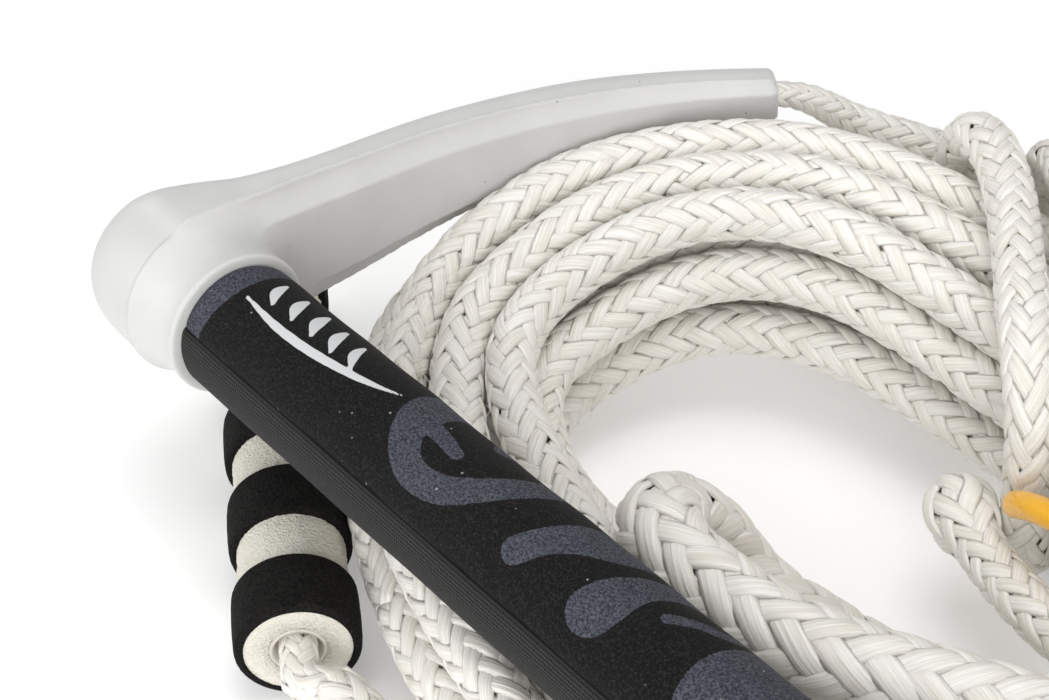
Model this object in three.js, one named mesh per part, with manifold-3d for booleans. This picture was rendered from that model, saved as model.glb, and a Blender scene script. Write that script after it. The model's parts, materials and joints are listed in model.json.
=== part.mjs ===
// Tow rope handle: a padded bar with two moulded rubber arms, the rope bridle that leaves their tips,
// and the coiled tow line with its float, tie, end loop and bridle knot.
//
// Millimetres, +Z up. While it is built, the origin is the middle of the bar on its axis: +X runs along the
// bar, +Y along the arms and -GROUND_DROP is the ground. The finished group is moved so that the origin is
// the middle of its footprint, on the ground.
import * as THREE from "three";
import { mergeVertices } from "three/addons/utils/BufferGeometryUtils.js";
import Module from "manifold-3d";

const wasm = await Module();
wasm.setup();

// ---- Driving dimensions -------------------------------------------------------------------------------

const GAP = 0.3; // between touching pieces
const GROUND_DROP = 54.8; // bar axis above the ground

const GRIP_LENGTH = 254;
const GRIP_R = 15;
const COVER_WALL = 0.8;
const TUBE_R = 11.1;
const TUBE_WALL = 1.6;
const TUBE_SOCKET = 9; // how far each end of the tube sits in its arm
const SEAM_CENTRE_DEG = 180; // the seam tape faces away from the arms; 0 is +Y, 90 is up
const SEAM_WIDTH_DEG = 58;
const PLUG_LENGTH = 14;

const RIM_R = 17.3;
const HUB_R = 19.3;
const HUB_RIDGE = 14.4; // from the grip's end to the crisp edge round the hub
const HUB_DEPTH = 40;
const HUB_FLAT_R = 8;

const ARM_REACH = 145.8; // from the bar's axis to the middle of the tip
const ARM_TIP_HALF_HEIGHT = 6;
const CREASE_SHARE = 0.62; // height of the soft crease, as a share of the half height

const ROPE_R = 6.25;
const BRIDLE_IN_ARM_R = 3.15; // the rope is squeezed inside the arms and the bar
const BRIDLE_CHANNEL_R = 3.6;
const HINGE_REACH = 12; // from an arm's tip to the bend where the handle lifts from the hank
const HINGE_CLEARANCE = 5; // the bridle is cut this far to each side of the bend
const TIP_DROOP = 4.5; // how far the rope has dropped at the bend
const ROPE_SIDES = 6;
const ROPE_STEP = 17; // between rings of a rope

const FLOAT_R = 13.6;
const FLOAT_CORE_R = 11.1;
const FLOAT_RINGS = 5;
const FLOAT_PITCH = 28;
const FLOAT_RING_LENGTH = 17;
const FLOAT_BORE_R = 5.4;
const LINER_WALL = 0.8;
const LINE_IN_FLOAT_R = 4.3;
const FLOAT_LEAD = 6; // thin line in front of the float
const FLOAT_TRAIL = 22; // and behind it
const FLOAT_FRONT = new THREE.Vector2(-73.5, -27); // the middle of its front face, seen from above
const FLOAT_HEADING = new THREE.Vector2(-0.85, 0.526).normalize();

const HANK_MIDDLE_Y = 62;
const HANK_HALF_WIDTH = 137;
const HANK_FAR = { reach: 104, power: 2.2, squaring: 0.014 }; // inner turns are squarer
const HANK_NEAR = { reach: 79, power: 1.85, squaring: 0 };
const HANK_TURNS = 11;
const LANES = 4; // turns side by side in one layer
const LAYER_HEIGHT = 13.15;
const CORNER_ANGLE = 0.66; // where the turns pass the left arm's tip, and its spread, in radians
const CORNER_SPREAD = 0.35;

const LEAD_OUTSIDE = 15.5; // from the outermost turn to the line outside it

const KNOT = new THREE.Vector3(0, 196, -36);
const KNOT_SIZE = new THREE.Vector3(16, 13, 17);

const THICK_R = 9.2;
const SPLICE = new THREE.Vector3(70, 66, -25);
const SPLICE_SIZE = new THREE.Vector3(9, 13, 13);

const TIE_TURNS = 3;
const TIE_PITCH = 19.8;
const TIE_X = -31; // where its first turn crosses the middle of the far turns
const TIE_SLANT = 35;
const TIE_MIDDLE_INSET = 23.6;
const TIE_HALF_INSET = 38;
const TIE_Z = -21;
const TIE_HALF_HEIGHT = 27.6;
const TIE_POWER = 5;
const STOPPER = new THREE.Vector3(-4, 97.5, -29);
const STOPPER_SIZE = new THREE.Vector3(8, 7.5, 8);
const BUNGEE_R = 3;

// ---- Small helpers ------------------------------------------------------------------------------------

const v3 = (x, y, z) => new THREE.Vector3(x, y, z);
const GROUND = -GROUND_DROP;
const HALF_GRIP = GRIP_LENGTH / 2;

function standard(color, roughness, metalness = 0) {
  return new THREE.MeshStandardMaterial({ color, roughness, metalness });
}

const FINISH = {
  rope: () => standard(0xf1eee6, 0.55),
  rubber: () => standard(0xe9e8e6, 0.5),
  fabric: () => standard(0x15151a, 0.85),
  tape: () => standard(0x3a3a3d, 0.95),
  foam: () => standard(0x191919, 0.9),
  cream: () => standard(0xe6e0cc, 0.9),
  metal: () => standard(0xc9ccd0, 0.35, 1),
  plastic: () => standard(0xd8d4c8, 0.5),
  bungee: () => standard(0xf0a010, 0.25),
};

function named(name, geometry, material) {
  const mesh = new THREE.Mesh(geometry, material);
  mesh.name = name;
  return mesh;
}

// A geometry as a manifold solid, and back.
function solid(geometry) {
  const bare = geometry.clone();
  bare.deleteAttribute("normal");
  bare.deleteAttribute("uv");
  const merged = mergeVertices(bare, 1e-4);
  return new wasm.Manifold(
    new wasm.Mesh({
      numProp: 3,
      vertProperties: new Float32Array(merged.attributes.position.array),
      triVerts: new Uint32Array(merged.index.array),
    }),
  );
}

function geometryOf(manifold) {
  const mesh = manifold.getMesh();
  const geometry = new THREE.BufferGeometry();
  geometry.setAttribute("position", new THREE.BufferAttribute(mesh.vertProperties, 3));
  geometry.setIndex(new THREE.BufferAttribute(mesh.triVerts, 1));
  return geometry;
}

// A solid of revolution about the X axis from [x, radius] points that start and end on the axis, or close.
function turned(points, sides) {
  const profile = points.map(([x, r]) => new THREE.Vector2(r, x));
  return new THREE.LatheGeometry(profile, sides).rotateZ(-Math.PI / 2);
}

// A sleeve along X, from x0 to x1.
function sleeve(x0, x1, inner, outer, sides) {
  return turned([[x0, inner], [x0, outer], [x1, outer], [x1, inner], [x0, inner]], sides);
}

// A solid rope along a curve.
function rope(curve, radius, step = ROPE_STEP) {
  const corners = Array.from({ length: ROPE_SIDES }, (_, i) => {
    const angle = (2 * Math.PI * i) / ROPE_SIDES;
    return new THREE.Vector2(radius * Math.cos(angle), radius * Math.sin(angle));
  });
  const section = new THREE.Shape(corners);
  curve.arcLengthDivisions = 3000;
  const steps = Math.max(2, Math.round(curve.getLength() / step));
  return new THREE.ExtrudeGeometry(section, { extrudePath: curve, steps });
}

const through = (...points) => new THREE.CatmullRomCurve3(points, false, "centripetal");
const smooth = (low, high, x) => THREE.MathUtils.smoothstep(x, low, high);

// ---- Bar ----------------------------------------------------------------------------------------------

function barTube() {
  const end = HALF_GRIP + TUBE_SOCKET;
  return named("bar_tube", sleeve(-end, end, TUBE_R - TUBE_WALL, TUBE_R, 32), FINISH.metal());
}

function gripFoam() {
  const inner = TUBE_R + GAP;
  const outer = GRIP_R - COVER_WALL - GAP;
  const end = HALF_GRIP - GAP;
  return named("grip_foam", sleeve(-end, end, inner, outer, 32), FINISH.foam());
}

// A strip of the grip's covering, between two angles about the bar (0 is +Y, 90 is up).
function coveringStrip(startDeg, endDeg, inner, outer) {
  const shape = new THREE.Shape();
  const start = THREE.MathUtils.degToRad(startDeg);
  const end = THREE.MathUtils.degToRad(endDeg);
  shape.absarc(0, 0, outer, start, end, false);
  shape.absarc(0, 0, inner, end, start, true);
  shape.closePath();
  const length = GRIP_LENGTH - 2 * GAP;
  const curveSegments = Math.ceil((endDeg - startDeg) / 9);
  const geometry = new THREE.ExtrudeGeometry(shape, { depth: length, bevelEnabled: false, curveSegments });
  return geometry.rotateX(Math.PI / 2).rotateZ(Math.PI / 2).translate(-length / 2, 0, 0);
}

function gripCovering() {
  const gapDeg = THREE.MathUtils.radToDeg(GAP / GRIP_R);
  const start = SEAM_CENTRE_DEG + SEAM_WIDTH_DEG / 2;
  const inner = GRIP_R - COVER_WALL;
  return [
    named("grip_cover", coveringStrip(start, start + 360 - SEAM_WIDTH_DEG, inner, GRIP_R), FINISH.fabric()),
    named(
      "seam_tape",
      coveringStrip(start - SEAM_WIDTH_DEG + gapDeg, start - gapDeg, inner, GRIP_R),
      FINISH.tape(),
    ),
  ];
}

function tubePlug(side) {
  const outerEnd = HALF_GRIP + TUBE_SOCKET;
  const geometry = sleeve(
    outerEnd - PLUG_LENGTH,
    outerEnd,
    BRIDLE_CHANNEL_R,
    TUBE_R - TUBE_WALL - GAP,
    24,
  );
  if (side < 0) geometry.rotateZ(Math.PI);
  return named(side < 0 ? "tube_plug_left" : "tube_plug_right", geometry, FINISH.plastic());
}

// ---- Arms ---------------------------------------------------------------------------------------------

// The left arm's middle line, seen from above: out of the hub, along, then in towards the tip.
const armLine = new THREE.SplineCurve([
  new THREE.Vector2(-HALF_GRIP - 24, -6),
  new THREE.Vector2(-HALF_GRIP - 20.5, 16),
  new THREE.Vector2(-HALF_GRIP - 17.5, 45),
  new THREE.Vector2(-HALF_GRIP - 15.5, 72),
  new THREE.Vector2(-HALF_GRIP - 9.5, 98),
  new THREE.Vector2(-HALF_GRIP + 2, 124),
  new THREE.Vector2(-HALF_GRIP + 16.3, ARM_REACH),
]);

function armHalfHeight(y) {
  const taper = THREE.MathUtils.clamp((y - 12) / (ARM_REACH - 12), 0, 1);
  return THREE.MathUtils.lerp(18.9, ARM_TIP_HALF_HEIGHT, taper);
}

// Half widths of the arm's top flat and of its middle.
function armHalfWidths(y) {
  const root = 1 - smooth(6, 34, y);
  const tip = smooth(95, ARM_REACH, y);
  return { top: 3.9 + 2.2 * root - 0.9 * tip, middle: 7.6 + 1.2 * root - 1.6 * tip };
}

function armLoft() {
  const sections = 16;
  const rings = [];
  for (let i = 0; i <= sections; i++) {
    const t = i / sections;
    const at = armLine.getPointAt(t);
    const tangent = armLine.getTangentAt(t);
    const h = armHalfHeight(at.y);
    const w = armHalfWidths(at.y);
    const place = (across, z) => v3(at.x + across * tangent.y, at.y - across * tangent.x, z);
    const half = [
      [w.top, h],
      [w.middle, CREASE_SHARE * h],
      [w.middle, -CREASE_SHARE * h],
      [w.top, -h],
    ];
    rings.push([
      ...half.map(([across, z]) => place(across, z)),
      ...half.reverse().map(([across, z]) => place(-across, z)),
    ]);
  }
  return loft(rings);
}

// A closed solid through rings of the same number of points.
function loft(rings) {
  const count = rings[0].length;
  const positions = rings.flat().flatMap((p) => p.toArray());
  const index = [];
  for (let r = 0; r + 1 < rings.length; r++) {
    for (let i = 0; i < count; i++) {
      const a = r * count + i;
      const b = r * count + ((i + 1) % count);
      index.push(a, b, a + count, b, b + count, a + count);
    }
  }
  const last = (rings.length - 1) * count;
  for (let i = 1; i + 1 < count; i++) {
    index.push(0, i + 1, i);
    index.push(last, last + i, last + i + 1);
  }
  const geometry = new THREE.BufferGeometry();
  geometry.setAttribute("position", new THREE.Float32BufferAttribute(positions, 3));
  geometry.setIndex(index);
  return geometry;
}

// The hub's profile, from the grip's end outwards: rim, hollow flare, crisp edge, rounded nose.
function hubProfile() {
  const path = new THREE.Path();
  path.moveTo(0, RIM_R);
  path.quadraticCurveTo(6, RIM_R - 2, HUB_RIDGE, HUB_R);
  path.quadraticCurveTo(HUB_DEPTH - 8, HUB_R - 0.6, HUB_DEPTH - 3.2, HUB_R - 4.6);
  path.quadraticCurveTo(HUB_DEPTH, HUB_FLAT_R + 3.6, HUB_DEPTH, HUB_FLAT_R);
  return path.getPoints(4).map((p) => [-p.x, p.y]);
}

// The bridle's line inside the left arm: out of the bar's end, round the hub and along to the tip.
function bridleInLeftArm() {
  const along = [0.3, 0.5, 0.7, 0.87, 1].map((t) => {
    const p = armLine.getPointAt(t);
    return v3(p.x, p.y, 0);
  });
  const straight = [v3(-HALF_GRIP + 20, 0, 0), v3(-HALF_GRIP + 8, 0, 0), v3(-HALF_GRIP - 8, 0, 0)];
  return [...straight, v3(-HALF_GRIP - 18, 4.5, 0), ...along];
}

function tipDirection() {
  const tangent = armLine.getTangentAt(1);
  return v3(tangent.x, tangent.y, 0);
}

// A point on the bridle past the left arm's tip, where the rope droops from the arm.
function pastTip(distance) {
  const tip = armLine.getPointAt(1);
  const droop = TIP_DROOP * (distance / HINGE_REACH) ** 2;
  return v3(tip.x, tip.y, -droop).addScaledVector(tipDirection(), distance);
}

function leftArm() {
  const start = -HALF_GRIP;
  const hub = solid(turned([[0, 0], ...hubProfile(), [-HUB_DEPTH, 0]].reverse(), 36).translate(start, 0, 0));
  const socketR = TUBE_R + GAP;
  const socketEnd = start - TUBE_SOCKET - GAP;
  const socketOutline = [[socketEnd, 0], [socketEnd, socketR], [start + 2, socketR], [start + 2, 0]];
  const socket = solid(turned(socketOutline, 32));
  const channelLine = through(...bridleInLeftArm(), pastTip(6));
  const channel = solid(rope(channelLine, BRIDLE_CHANNEL_R + 2 * GAP, 6));
  return hub.add(solid(armLoft())).subtract(socket).subtract(channel);
}

function arms() {
  const left = leftArm();
  const right = left.mirror([1, 0, 0]);
  return [
    named("arm_left", geometryOf(left), FINISH.rubber()),
    named("arm_right", geometryOf(right), FINISH.rubber()),
  ];
}

const mirrored = (p) => v3(-p.x, p.y, p.z);

// One rope runs from tip to tip through both arms and the bar.
function bridleThroughHandle() {
  const left = [...bridleInLeftArm(), pastTip(HINGE_REACH - HINGE_CLEARANCE)].reverse();
  const right = left.map(mirrored).reverse();
  return named("bridle_line", rope(through(...left, ...right), BRIDLE_IN_ARM_R, 10), FINISH.rope());
}

// ---- Hank ---------------------------------------------------------------------------------------------

// A value at equal steps round the hank (from the left, by the far side), with smooth changes between them.
function roundHank(angle, values) {
  const count = values.length;
  const at = THREE.MathUtils.euclideanModulo((angle / (2 * Math.PI)) * count, count);
  const i = Math.floor(at);
  return THREE.MathUtils.lerp(values[i], values[(i + 1) % count], smooth(0, 1, at - i));
}

// The hank seen from above: a squarish arch on the far side and a flatter curve under the bar.
function hankOutline(angle, inset) {
  const side = Math.sin(angle) >= 0 ? HANK_FAR : HANK_NEAR;
  const along = HANK_HALF_WIDTH - inset;
  const across = side.reach - inset;
  const c = Math.abs(Math.cos(angle)) / along;
  const s = Math.abs(Math.sin(angle)) / across;
  const power = side.power + side.squaring * inset;
  const r = (c ** power + s ** power) ** (-1 / power);
  return new THREE.Vector2(-r * Math.cos(angle), HANK_MIDDLE_Y + r * Math.sin(angle));
}

// The hank's layers fill in turn: outwards in, then back out, then in again. place counts turns along that
// order, and returns the lane and the layer; halfway up to the next layer a turn swings clear of it.
function stackPlace(place) {
  const layer = Math.floor(place / LANES);
  const inLayer = place - layer * LANES;
  const climb = Math.max(0, inLayer - (LANES - 1));
  const lane = Math.min(inLayer, LANES - 1) + 0.42 * Math.sin(Math.PI * climb);
  const outwards = layer % 2 === 1;
  return { lane: outwards ? LANES - 1 - lane : lane, layer: layer + smooth(0.16, 0.84, climb) };
}

// The middle of the tow line at a place in the stack and an angle round the hank.
function hankPoint(place, angle) {
  const pitch = roundHank(angle, [13.7, 14.2, 15.2, 15.6, 15.8, 19.5, 15, 17.3]);
  const { lane, layer } = stackPlace(place);
  const nested = 0.5 * smooth(1, 2, layer) * roundHank(angle, [1.34, 1.24, 1.02, 1.1, 1.3, 0.9, 0, 0.5]);
  const at = hankOutline(angle, pitch * (lane + nested));
  const fromCorner = THREE.MathUtils.euclideanModulo(angle, 2 * Math.PI) - CORNER_ANGLE;
  const corner = Math.exp(-((fromCorner / CORNER_SPREAD) ** 2));
  const lift = 14.6 * smooth(20, 105, at.y) + 2.6 * corner;
  const height = LAYER_HEIGHT + 2.2 * corner;
  return v3(at.x, at.y, GROUND + ROPE_R + lift + height * layer);
}

// The tow line's turns: each turn moves on by one place while it crosses the right-hand near corner.
class HankCurve extends THREE.Curve {
  constructor(startAngle, endAngle, startPlace) {
    super();
    Object.assign(this, { startAngle, endAngle, startPlace });
  }

  getPoint(t, target = v3(0, 0, 0)) {
    const angle = THREE.MathUtils.lerp(this.startAngle, this.endAngle, t);
    const turn = Math.floor(angle / (2 * Math.PI));
    const share = angle / (2 * Math.PI) - turn;
    const moved = smooth(0.47, 0.73, share);
    return target.copy(hankPoint(Math.max(0, this.startPlace + turn + moved), angle));
  }
}

const COIL_START = THREE.MathUtils.degToRad(62);
const COIL_END = THREE.MathUtils.degToRad(360 * (HANK_TURNS - 1) + 150);

function coil() {
  return named("line_coil", rope(new HankCurve(COIL_START, COIL_END, 0), ROPE_R), FINISH.rope());
}

// ---- Float --------------------------------------------------------------------------------------------

const FLOAT_LENGTH = (FLOAT_RINGS - 1) * FLOAT_PITCH + FLOAT_RING_LENGTH;
const FLOAT_Z = GROUND + FLOAT_R;

// A point on the float's axis, counted from its front face.
function onFloatAxis(distance) {
  return v3(
    FLOAT_FRONT.x + distance * FLOAT_HEADING.x,
    FLOAT_FRONT.y + distance * FLOAT_HEADING.y,
    FLOAT_Z,
  );
}

function alongFloat(name, geometry, material) {
  const mesh = named(name, geometry, material);
  mesh.position.copy(onFloatAxis(0));
  mesh.rotation.z = FLOAT_HEADING.angle();
  return mesh;
}

function floatRing(start) {
  const inner = FLOAT_CORE_R + GAP;
  const end = start + FLOAT_RING_LENGTH;
  const edge = 1.8;
  return turned(
    [
      [start, inner],
      [start, FLOAT_R - edge],
      [start + edge * 0.3, FLOAT_R - edge * 0.3],
      [start + edge, FLOAT_R],
      [end - edge, FLOAT_R],
      [end - edge * 0.3, FLOAT_R - edge * 0.3],
      [end, FLOAT_R - edge],
      [end, inner],
      [start, inner],
    ],
    28,
  );
}

function floatPieces() {
  const linerOuter = FLOAT_BORE_R + LINER_WALL;
  const pieces = [
    alongFloat("float_liner", sleeve(0.2, FLOAT_LENGTH - 0.2, FLOAT_BORE_R, linerOuter, 24), FINISH.plastic()),
    alongFloat(
      "float_core",
      sleeve(0.2, FLOAT_LENGTH - 0.2, linerOuter + 0.1, FLOAT_CORE_R, 28),
      FINISH.cream(),
    ),
  ];
  for (let i = 0; i < FLOAT_RINGS; i++) {
    pieces.push(alongFloat("float_ring_" + (i + 1), floatRing(i * FLOAT_PITCH), FINISH.foam()));
  }
  return pieces;
}

// The tow line is squeezed thin where it passes through the float.
function lineInFloat() {
  const straight = new THREE.LineCurve3(onFloatAxis(-FLOAT_LEAD), onFloatAxis(FLOAT_LENGTH + FLOAT_TRAIL));
  return named("line_in_float", rope(straight, LINE_IN_FLOAT_R, 40), FINISH.rope());
}

// ---- The rest of the rope -----------------------------------------------------------------------------

const onGround = (x, y) => v3(x, y, GROUND + ROPE_R);

// From the bridle knot, outside the right-hand turns and round the near side to the float.
function leadLine() {
  const round = [];
  for (let degrees = 128; degrees <= 268; degrees += 20) {
    const at = hankOutline(THREE.MathUtils.degToRad(degrees), -LEAD_OUTSIDE);
    round.push(onGround(at.x, at.y));
  }
  const bend = [onGround(-22, -30), v3(-41, -26.5, -47), v3(-54, -27, -43.5)];
  const toFloat = [...bend, onFloatAxis(-FLOAT_LEAD - 3), onFloatAxis(-FLOAT_LEAD - GAP)];
  const curve = through(onGround(16.5, KNOT.y - 7), onGround(40, KNOT.y - 8), ...round, ...toFloat);
  return named("line_lead", rope(curve, ROPE_R), FINISH.rope());
}

// From the back of the float, round behind the left arm to the first turn of the hank.
function returnLine() {
  const back = FLOAT_LENGTH + FLOAT_TRAIL;
  const start = hankPoint(0, COIL_START);
  const before = hankPoint(0, COIL_START - 0.03);
  const along = start.clone().sub(before).normalize();
  const curve = through(
    onFloatAxis(back + GAP),
    onFloatAxis(back + 7),
    onGround(-212, 78),
    onGround(-204, 104),
    onGround(-176, 127),
    v3(-132, 143, start.z - 3),
    v3(-100, 150, start.z - 1),
    start.clone().addScaledVector(along, -3 * GAP),
  );
  return named("line_return", rope(curve, ROPE_R), FINISH.rope());
}

function bridleLegs() {
  const left = through(
    pastTip(HINGE_REACH + HINGE_CLEARANCE),
    v3(-82, 174.5, -17),
    v3(-60, 187, -24),
    v3(-35, KNOT.y - 1, -30),
    v3(-KNOT_SIZE.x - GAP, KNOT.y, -32),
  );
  const right = through(...left.points.map(mirrored));
  return [
    named("bridle_leg_left", rope(left, ROPE_R), FINISH.rope()),
    named("bridle_leg_right", rope(right, ROPE_R), FINISH.rope()),
  ];
}

// A knot's outer shape: a squashed ball.
function knot(name, centre, size) {
  const mesh = named(name, new THREE.SphereGeometry(1, 14, 10), FINISH.rope());
  mesh.scale.copy(size);
  mesh.position.copy(centre);
  return mesh;
}

// The far turns' outline as a function of x, inset mm inside the outermost turn.
function farOutlineY(x, inset) {
  const power = HANK_FAR.power + HANK_FAR.squaring * inset;
  const across = (Math.abs(x) / (HANK_HALF_WIDTH - inset)) ** power;
  return HANK_MIDDLE_Y + (HANK_FAR.reach - inset) * (1 - across) ** (1 / power);
}

// The slanted tie round the far turns: a flattened helix that follows their curve.
class TieCurve extends THREE.Curve {
  getPoint(t, target = v3(0, 0, 0)) {
    const turn = TIE_TURNS * t;
    const angle = Math.PI * (1 - 2 * turn);
    const squared = (value) => Math.sign(value) * Math.abs(value) ** (2 / TIE_POWER);
    const across = squared(Math.cos(angle));
    const x = TIE_X + TIE_PITCH * (turn - 0.25) + TIE_SLANT * across;
    const y = farOutlineY(x, TIE_MIDDLE_INSET + TIE_HALF_INSET * across);
    return target.set(x, y, TIE_Z + TIE_HALF_HEIGHT * squared(Math.sin(angle)));
  }
}

function tie() {
  const wraps = new TieCurve();
  wraps.arcLengthDivisions = 1200;
  const points = wraps.getSpacedPoints(30 * TIE_TURNS);
  return named("hank_tie", rope(through(...points), ROPE_R, 12), FINISH.rope());
}

// The tail of the tie ends in a stopper knot; the yellow core stands out beside it.
function tieTail() {
  const curve = through(
    v3(52, 83, -30),
    v3(36, 82, -26),
    v3(20, 86, -27.5),
    v3(STOPPER.x + STOPPER_SIZE.x + GAP, STOPPER.y - 5, STOPPER.z),
  );
  return named("tie_tail", rope(curve, ROPE_R, 10), FINISH.rope());
}

function bungeeCore() {
  const curve = through(v3(11, 96, -18), v3(20, 93, -11), v3(34, 91.5, -7.5), v3(48, 90.5, -10));
  return named("bungee_core", rope(curve, BUNGEE_R, 8), FINISH.bungee());
}

// The end loop is spliced back into itself, so it is thicker than the line.
function endLoop() {
  const curve = through(
    v3(63, 56, -13),
    v3(41, 42.5, -10),
    v3(19, 32.5, -10),
    v3(-3, 29, -9.5),
    v3(-21, 30, -9.5),
    v3(-30.5, 36, -12),
    v3(-33.5, 44.5, -20.5),
    v3(-32, 52.5, -32),
    v3(-25.5, 55, -41),
    v3(-9, 59, -45),
    v3(17, 62.5, -45),
    v3(42, 67, -42),
    v3(58, 72, -39),
  );
  return named("end_loop", rope(curve, THICK_R, 12), FINISH.rope());
}

// The last turn leaves the hank and runs down into the end loop's splice.
function lineEnd() {
  const end = hankPoint(HANK_TURNS - 1, COIL_END);
  const along = end.clone().sub(hankPoint(HANK_TURNS - 1, COIL_END - 0.03)).normalize();
  const curve = through(
    end.clone().addScaledVector(along, 2 * GAP),
    end.clone().addScaledVector(along, 10),
    v3(SPLICE.x + 8, SPLICE.y + 16, -7),
    v3(SPLICE.x + 3, SPLICE.y + 3, SPLICE.z + SPLICE_SIZE.z + 4.8),
  );
  return named("line_end", rope(curve, ROPE_R, 10), FINISH.rope());
}

// ---- The whole handle ---------------------------------------------------------------------------------

const group = new THREE.Group();
group.add(barTube(), gripFoam(), ...gripCovering(), tubePlug(-1), tubePlug(1), ...arms());
group.add(bridleThroughHandle(), ...bridleLegs(), knot("bridle_knot", KNOT, KNOT_SIZE));
group.add(leadLine(), lineInFloat(), returnLine(), coil(), ...floatPieces());
group.add(tie(), tieTail(), knot("stopper_knot", STOPPER, STOPPER_SIZE), bungeeCore());
group.add(endLoop(), knot("loop_splice", SPLICE, SPLICE_SIZE), lineEnd());

const box = new THREE.Box3().setFromObject(group);
const middle = box.getCenter(v3(0, 0, 0));
group.position.set(-middle.x, -middle.y, -box.min.z);
group.updateMatrixWorld(true);

export default group;
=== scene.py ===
"""Tow rope handle: a padded bar with white rubber arms on a coiled braided tow line.

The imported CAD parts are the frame. Everything here is built round them in the handle's own axes, in
millimetres from the middle of the bar, and is placed in metres at the end.
"""

import json
import math

import bpy
import numpy as np
from mathutils import Matrix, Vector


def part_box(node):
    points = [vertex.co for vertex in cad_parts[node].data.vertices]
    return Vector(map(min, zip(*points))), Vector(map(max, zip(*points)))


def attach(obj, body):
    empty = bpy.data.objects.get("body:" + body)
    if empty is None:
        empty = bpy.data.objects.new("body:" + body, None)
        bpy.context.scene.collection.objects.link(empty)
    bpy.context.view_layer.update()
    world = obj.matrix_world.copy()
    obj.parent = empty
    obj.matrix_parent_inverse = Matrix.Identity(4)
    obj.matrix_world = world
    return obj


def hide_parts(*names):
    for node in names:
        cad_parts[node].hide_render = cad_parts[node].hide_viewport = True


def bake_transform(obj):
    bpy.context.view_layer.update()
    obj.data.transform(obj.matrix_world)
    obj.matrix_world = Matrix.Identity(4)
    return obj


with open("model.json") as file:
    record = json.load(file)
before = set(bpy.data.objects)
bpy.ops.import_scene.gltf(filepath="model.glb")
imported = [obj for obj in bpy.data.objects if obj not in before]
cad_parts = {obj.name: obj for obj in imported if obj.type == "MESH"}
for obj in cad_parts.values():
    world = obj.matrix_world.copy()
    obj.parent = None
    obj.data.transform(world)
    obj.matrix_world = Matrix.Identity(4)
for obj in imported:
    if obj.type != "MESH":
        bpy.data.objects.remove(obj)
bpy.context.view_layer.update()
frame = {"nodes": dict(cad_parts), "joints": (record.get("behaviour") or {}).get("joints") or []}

MM = 0.001


def box_mm(node):
    low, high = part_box(node)
    return np.array(low) / MM, np.array(high) / MM


def middle_of(node):
    """The middle of a CAD node's box, in the handle's axes."""
    return sum(box_mm(node)) / 2 - BAR


def corners_of(node):
    """A CAD node's vertices in the handle's axes."""
    return np.array([v.co for v in frame["nodes"][node].data.vertices], float) / MM - BAR


BAR = sum(box_mm("bar_tube")) / 2
GROUND = -BAR[2]
GRIP_SIZE = np.subtract(*box_mm("grip_cover")[::-1])
HALF_GRIP = GRIP_SIZE[0] / 2
GRIP_R = GRIP_SIZE[2] / 2

ROPE_R = 6.25
BRIDLE_R = 3.15
LINE_IN_FLOAT_R = 4.3
TIE_R = 5.9
TAIL_R = 5.6
LOOP_R = 9.2
BUNGEE_R = 3.0

# Each rope and the stray fibres have their own seeds too.
rng = np.random.default_rng(7)


# ---- Meshes ----


def to_world(points):
    return (np.asarray(points, float) + BAR) * MM


def mesh_object(name, points, faces, attributes=None):
    """A smooth mesh from points in the handle's axes and faces with equally many sides."""
    points = to_world(points)
    faces = np.asarray(faces, np.int32)
    mesh = bpy.data.meshes.new(name)
    mesh.vertices.add(len(points))
    mesh.vertices.foreach_set("co", points.astype(np.float32).ravel())
    mesh.loops.add(faces.size)
    mesh.loops.foreach_set("vertex_index", faces.ravel())
    mesh.polygons.add(len(faces))
    mesh.polygons.foreach_set("loop_start", np.arange(0, faces.size, faces.shape[1], dtype=np.int32))
    mesh.update(calc_edges=True)
    mesh.polygons.foreach_set("use_smooth", np.ones(len(faces), bool))
    for key, values in (attributes or {}).items():
        kind, field = ("FLOAT_VECTOR", "vector") if values.ndim == 2 else ("FLOAT", "value")
        mesh.attributes.new(key, kind, "POINT").data.foreach_set(field, values.astype(np.float32).ravel())
    mesh.validate()
    obj = bpy.data.objects.new(name, mesh)
    bpy.context.scene.collection.objects.link(obj)
    return obj


def paint(obj, material):
    obj.data.materials.clear()
    obj.data.materials.append(material)


def finish_piece(obj, material, body, nodes):
    """Paints a piece, ties it to its body, and hides the CAD nodes it stands for."""
    paint(obj, material)
    if body:
        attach(obj, body)
    if nodes:
        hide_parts(*nodes)
    return obj


def grid_faces(rows, columns, closed):
    """Quads of a grid of points, row by row; closed joins the last column to the first."""
    r = np.arange(rows - 1)[:, None]
    c = np.arange(columns if closed else columns - 1)[None]
    n = (c + 1) % columns
    a, b = r * columns + c, r * columns + n
    return np.stack([a, b, b + columns, a + columns], -1).reshape(-1, 4)


def cap_faces(first, count):
    """Quads that close a ring of an even number of points."""
    j = np.arange(count // 2 - 1)
    return first + np.stack([j, j + 1, count - 2 - j, count - 1 - j], -1)


def tube_faces(rings, sides, first=0):
    """Quads of a closed tube: its wall and its two end caps."""
    last = first + (rings - 1) * sides
    wall = grid_faces(rings, sides, True) + first
    return np.concatenate([wall, cap_faces(first, sides)[:, ::-1], cap_faces(last, sides)])


# ---- Curves ----


def unit(v):
    return v / np.maximum(np.linalg.norm(v, axis=-1, keepdims=True), 1e-9)


def lengths(path):
    return np.r_[0, np.cumsum(np.linalg.norm(np.diff(path, axis=0), axis=1))]


def smooth_step(low, high, x):
    t = np.clip((x - low) / (high - low), 0, 1)
    return t * t * (3 - 2 * t)


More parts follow.
